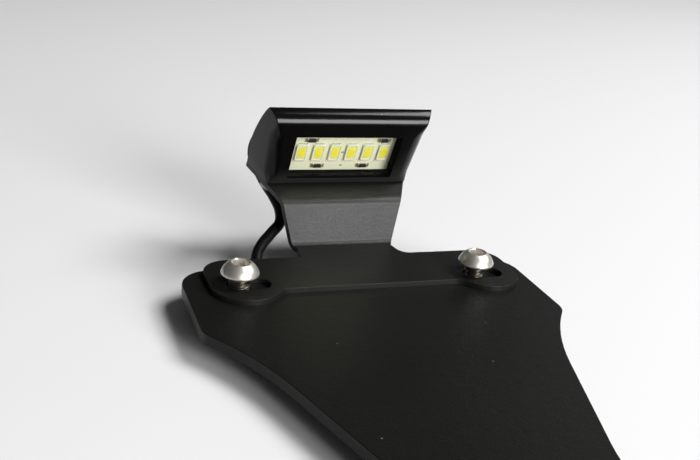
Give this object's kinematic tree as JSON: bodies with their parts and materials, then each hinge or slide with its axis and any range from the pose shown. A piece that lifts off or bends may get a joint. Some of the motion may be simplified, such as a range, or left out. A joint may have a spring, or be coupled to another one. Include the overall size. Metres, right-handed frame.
{
  "type": "side mount license plate holder",
  "caption": "Black sheet metal motorbike license plate holder with a folded bracket that carries a small LED plate lamp, and a bare-ended cable.",
  "frame": {"origin": "on the surface it lies on, under the middle of its length and width, the cable left out", "axes": "+X across the plate, +Y up the plate towards the lamp, +Z out of the plate's face"},
  "size_m": [0.0988, 0.2415, 0.0486],
  "materials": {
    "powder_coat": "satin",
    "gloss_black_plastic": "gloss",
    "clear_plastic": "gloss",
    "circuit_board": "satin",
    "light_chip": "satin",
    "resistor_body": "satin",
    "zinc_steel": "satin",
    "stainless": "satin",
    "rubber": "matte",
    "cable_sheath": "satin",
    "red_sheath": "satin"
  },
  "bodies": {
    "root": {"base_plate": "powder_coat", "light_bracket": "powder_coat", "lamp_housing": "gloss_black_plastic", "lamp_lens": "clear_plastic", "led_board": "circuit_board", "led_1": "light_chip", "led_2": "light_chip", "led_3": "light_chip", "led_4": "light_chip", "led_5": "light_chip", "led_6": "light_chip", "resistor_1": "resistor_body", "resistor_2": "resistor_body", "resistor_3": "resistor_body", "resistor_4": "resistor_body", "lamp_screw_left": "zinc_steel", "lamp_screw_right": "zinc_steel", "plate_screw_left": "stainless", "plate_screw_right": "stainless", "weld_nut_upper_left": "powder_coat", "weld_nut_upper_right": "powder_coat", "weld_nut_lower_left": "powder_coat", "weld_nut_lower_right": "powder_coat", "cable_grommet": "rubber", "lamp_cable": "cable_sheath", "cable_coil": "cable_sheath", "lead_red": "red_sheath", "lead_black": "cable_sheath"}
  },
  "joints": []
}
